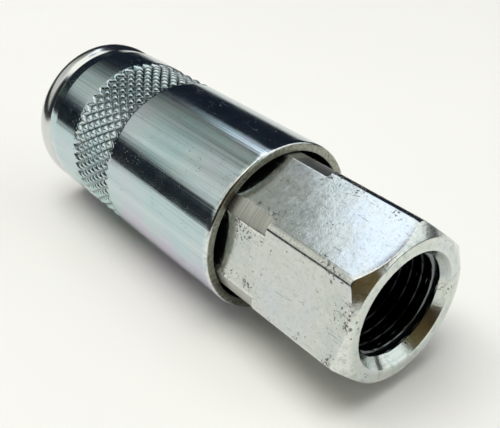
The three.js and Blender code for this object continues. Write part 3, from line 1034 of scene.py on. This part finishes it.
def make_valve_guide():
    rear, front = span("valve_guide")
    piece = rounded_ring("stem_guide", rear, front, GUIDE_RIM, STACK_RADIUS, 0.12)
    piece = boolean(piece, rounded_ring("hub", rear, front, GUIDE_HOLE, GUIDE_HUB, 0.12, 96), "UNION")
    for index in range(GUIDE_ARMS):
        angle = math.pi / 2 + index * 2 * math.pi / GUIDE_ARMS
        arm = bar("arm", rear + 0.15, front - 0.15, GUIDE_ARM, GUIDE_HUB - 0.4, GUIDE_RIM + 0.4, angle)
        piece = boolean(piece, arm, "UNION")
    dress(piece, "body", "valve_brass", "valve_guide")


def make_valve_stem():
    rear, front = span("valve_stem")
    corners = [
        (rear, 0, 0),
        (rear, STEM_RADIUS, 0.25),
        (HEAD_REAR, STEM_RADIUS, 0.2),
        (HEAD_REAR, HEAD_RADIUS, 0.15),
        (HEAD_FRONT, HEAD_RADIUS, 0.15),
        (HEAD_FRONT, STEM_TIP, 0.1),
        (front, STEM_TIP, 0.3),
        (front, 0, 0),
    ]
    turned_piece("valve_shaft", corners, "valve", "valve_brass", "valve_stem", 96, closed=False)


def make_valve_nose():
    """The four-winged front of the valve: a hub and bars trimmed to an envelope, with a blind hole."""
    rear, front = span("valve_nose")
    hub = rounded([(rear, 0, 0), (rear, STAR_HUB, 0.1), (front, STAR_HUB, 0.5), (front, 0, 0)])
    piece = turned("valve_star", hub, 96, closed=False)
    for wing in range(WINGS):
        angle = math.pi / 4 + wing * 2 * math.pi / WINGS
        piece = boolean(piece, bar("wing", rear, front, WING_WIDTH, 1.1, STAR_RADIUS + 1, angle), "UNION")
    envelope = [(rear - 1, 0, 0), (rear - 1, STAR_RADIUS, 0), (front - 0.1, STAR_RADIUS, 0.7)]
    envelope += [(front - 0.1, STAR_HOLE, 0.4), (front, STAR_TIP, 0), (front, 0, 0)]
    piece = boolean(piece, turned("envelope", rounded(envelope), 96, closed=False), "INTERSECT")
    hole = [(rear - 1, 0), (rear - 1, STAR_HOLE), (STAR_HOLE_TO, STAR_HOLE), (STAR_HOLE_TIP, 0)]
    piece = boolean(piece, turned("hole", hole, 64, closed=False), "DIFFERENCE")
    dress(piece, "valve", "valve_brass", "valve_nose")


def make_plug_seal():
    """A ring with a lip that leans on the plug."""
    rear, front = span("plug_seal")
    corners = [
        (rear, 4.95, 0.2),
        (rear, STACK_RADIUS, 0.15),
        (front, STACK_RADIUS, 0.15),
        (front, 5.25, 0.2),
        (front - 0.35, 4.6, 0.22),
        (rear + 0.45, 4.6, 0.22),
    ]
    turned_piece("socket_seal", corners, "body", "seal_rubber", "plug_seal")


def make_inner_pieces():
    make_spring("sleeve_coil", "sleeve_spring", 8.4, 0.6, 5.0)
    make_spring("valve_coil", "valve_spring", 3.4, 0.3, 4.5)
    ring("sleeve_washer", "thrust_washer", 7.6, 9.2, 0.12, "sleeve_carrier", "spring_steel")
    o_ring("joint_o_ring", "body_o_ring", 5.55, 0.5)
    o_ring("seat_seal", "seat_o_ring", 5.6, 0.42)
    make_plug_seal()
    make_valve_seat()
    ring("spacer_ring", "valve_cage", 5.4, STACK_RADIUS, 0.12, "body", "valve_brass")
    make_valve_guide()
    make_valve_stem()
    ring("valve_disc", "valve_seal", 1.7, 4.7, 0.18, "valve", "seal_rubber")
    make_valve_nose()


# ---- Floor and light ----

FLOOR_SIZE = 1.5
BACKDROP_RADIUS, BACKDROP_HEIGHT, BACKDROP_SIDES = 1.4, 1.6, 96
FLAG_DISTANCE, FLAG_TURN, FLAG_WIDTH, FLAG_HEIGHT = 0.22, math.radians(40), 0.30, 0.045
FLAG_DARK, FLAG_LIGHT = (0.006, 0.008, 0.012), (0.012, 0.014, 0.02)

# Each lamp's place, size, power and colour.
LAMPS = {
    "key": ((0.02, 0.10, 0.75), 0.55, 3.1, (1, 0.995, 0.98)),
    "left": ((0.27, 0.19, 0.55), 0.25, 0.45, (1, 0.97, 0.90)),
}

# What the metal reflects, by direction in degrees: dark, with a bright wall, ceiling and window.
DARK = (0.012, 0.016, 0.026)
CEILING, CEILING_FROM = (1.31, 1.31, 1.25), (56, 62)
WALL = (0.35, (0.38, 0.40, 0.36)), (0.5, (0.67, 0.67, 0.61)), (0.65, (0.98, 0.98, 0.94))
WALL_ZONE = (-28, 70, 0, 95, 4)
WALL_FADE = (0.0, 0.26), (0.25, 0.48), (0.6, 0.85), (1.0, 1.1)
WINDOW = (1.50, 1.62, 1.76)
BROWN = (0.0, (0.040, 0.020, 0.010)), (1.0, (0.120, 0.085, 0.030))

# Smaller zones: a colour, then turn from and to, rise from and to, and how soft the ends are.
PALE_PATCH = (0.50, 0.53, 0.46), -17, -9, 40, 50, 4
ZENITH = (0.26, 0.30, 0.48), -44, -22, 63, 74, 3
LOW_WALL = (0.16, 0.19, 0.15), -24, 18, -6, 12, 4
SIDE_WINDOW = (1.15, 1.18, 1.18), -182, -98, 12, 95, 4
RED_SHADE = (0.075, 0.045, 0.036), -182, -125, -9, 9, 4


def paper(name):
    n, place = new_material(name)
    colour = n.mix(n.noise(place, 14, 3.0), (0.83, 0.825, 0.80), (0.87, 0.865, 0.845))
    return n.principled(Base_Color=colour, Roughness=0.75)


def black_card():
    n, place = new_material("flag")
    return n.principled(Base_Color=n.mix(n.noise(place, 900, 2.0), FLAG_DARK, FLAG_LIGHT), Roughness=0.9)


def stage_mesh(name, corners, faces, material):
    mesh = bpy.data.meshes.new(name)
    mesh.from_pydata(corners, [], faces)
    mesh.materials.append(material)
    item = shown(name, mesh)
    return item


def make_floor():
    corners = [(FLOOR_SIZE * x, FLOOR_SIZE * y, 0) for x, y in ((-1, -1), (1, -1), (1, 1), (-1, 1))]
    stage_mesh("floor", corners, [(0, 1, 2, 3)], paper("floor"))


def make_backdrop():
    """A plain pale wall round the floor, which only the camera sees."""
    sides = BACKDROP_SIDES
    circle = [(BACKDROP_RADIUS * math.cos(a), BACKDROP_RADIUS * math.sin(a)) for a in round_angles(sides)]
    corners = [(x, y, z) for z in (0, BACKDROP_HEIGHT) for x, y in circle]
    faces = [(i, (i + 1) % sides, sides + (i + 1) % sides, sides + i) for i in range(sides)]
    backdrop = stage_mesh("backdrop", corners, faces, paper("backdrop"))
    backdrop.visible_glossy = backdrop.visible_diffuse = backdrop.visible_shadow = False


def make_flag():
    """A low black card behind the coupler's left side, which only reflections show."""
    away = np.array([math.cos(FLAG_TURN), math.sin(FLAG_TURN)])
    side = np.array([-away[1], away[0]]) * FLAG_WIDTH / 2
    ends = [(-1, 0), (1, 0), (1, FLAG_HEIGHT), (-1, FLAG_HEIGHT)]
    corners = [(*(away * FLAG_DISTANCE + side * sign), height) for sign, height in ends]
    flag = stage_mesh("flag", corners, [(0, 1, 2, 3)], black_card())
    flag.visible_camera = flag.visible_diffuse = flag.visible_shadow = False


def make_world():
    """The surroundings. Turn is the angle from +X towards +Y, and rise is the angle above level."""
    world = bpy.data.worlds.new("studio")
    bpy.context.scene.world = world
    world.use_nodes = True
    n = Nodes(world.node_tree)
    x, y, z = n.parts(n.make("TexCoord", output="Generated"))
    turn = n.math("DEGREES", n.math("ARCTAN2", y, x))
    rise = n.math("DEGREES", n.math("ARCSINE", z))

    def zone(start, end, low, high, soft):
        return n.times(n.between(turn, start, end, soft), n.between(rise, low, high, soft))

    def patched(colour, *patches):
        for over, *limits in patches:
            colour = n.mix(zone(*limits), colour, over)
        return colour

    spread = n.make("CombineXYZ", {"X": n.times(turn, 0.16), "Y": n.times(rise, 0.03)})
    stripes = n.ramp(n.noise(spread, 1.0, 3.0, 0.6), *WALL)
    wall = n.mix(1.0, stripes, n.ramp(n.step(turn, -28, 32), *WALL_FADE), "MULTIPLY")
    low_edge = n.math("SUBTRACT", rise, n.linear(n.most(turn, -8.0), -0.32, 30.9))
    colour = n.mix(n.times(zone(*WALL_ZONE), n.step(low_edge, -4, 5)), DARK, wall)
    colour = patched(colour, PALE_PATCH)
    colour = n.mix(n.step(rise, *CEILING_FROM), colour, CEILING)
    colour = patched(colour, ZENITH, LOW_WALL)

    # The window is a slanted strip with two leaning sides, a low end and a high end.
    upper_side = n.times(n.math("ADD", n.linear(rise, -1.4, 91.3), turn), 0.6)
    side = n.math("MINIMUM", upper_side, n.math("ADD", turn, 25.0))
    window = n.times(n.step(side, 0.5, -2.5), n.step(rise, 35, 38))
    window = n.times(window, n.step(rise, 64, 60))
    window = n.times(window, n.step(n.math("ADD", n.times(turn, 1.45), rise), -12, -3))
    colour = n.mix(window, colour, WINDOW)
    colour = patched(colour, SIDE_WINDOW, RED_SHADE)

    # Brown beyond the hexagon's end, darker and redder at one side.
    turn_round = n.math("FLOORED_MODULO", turn, 360.0)
    behind = n.math("SUBTRACT", turn_round, n.most(rise, 28.0))
    brown = n.times(n.step(turn_round, 98, 106), n.step(behind, 162, 152))
    brown = n.times(brown, n.step(rise, 70, 62))
    colour = n.mix(brown, colour, n.ramp(n.step(turn_round, 128, 176), *BROWN))
    n.make("OutputWorld", {"Surface": n.make("Background", {"Color": colour})})


def make_lights():
    """Round soft lights aimed at the coupler, which reflections don't show."""
    for name, (place, size, watts, colour) in LAMPS.items():
        data = bpy.data.lights.new(name, "AREA")
        data.shape = "DISK"
        data.size = size
        data.energy = watts
        data.color = colour
        lamp = shown(name, data)
        lamp.location = place
        lamp.rotation_euler = Vector(place).to_track_quat("Z", "Y").to_euler()
        lamp.visible_glossy = False


# Dark and light colour, least roughness and its range, and the stains' colour.
INNER_METALS = {
    "spring_steel": ((0.36, 0.36, 0.38), (0.52, 0.52, 0.54), 0.18, 0.25, (0.12, 0.09, 0.06)),
    "ball_steel": ((0.62, 0.63, 0.65), (0.70, 0.71, 0.73), 0.04, 0.08, (0.3, 0.3, 0.3)),
    "valve_brass": ((0.60, 0.43, 0.17), (0.78, 0.60, 0.28), 0.14, 0.22, (0.25, 0.15, 0.07)),
}
MATERIALS = {name: turned_metal(name, *look) for name, look in INNER_METALS.items()}
for make in (zinc_sleeve, zinc_nose, hex_flats, hex_turned, hex_neck, thread_bore, seal_rubber):
    MATERIALS[make.__name__] = make()

bpy.context.scene.view_settings.view_transform = "Standard"
make_camera()
make_floor()
make_backdrop()
make_flag()
make_world()
make_lights()
make_hex_body()
make_sleeve()
make_socket_body()
make_balls()
make_inner_pieces()
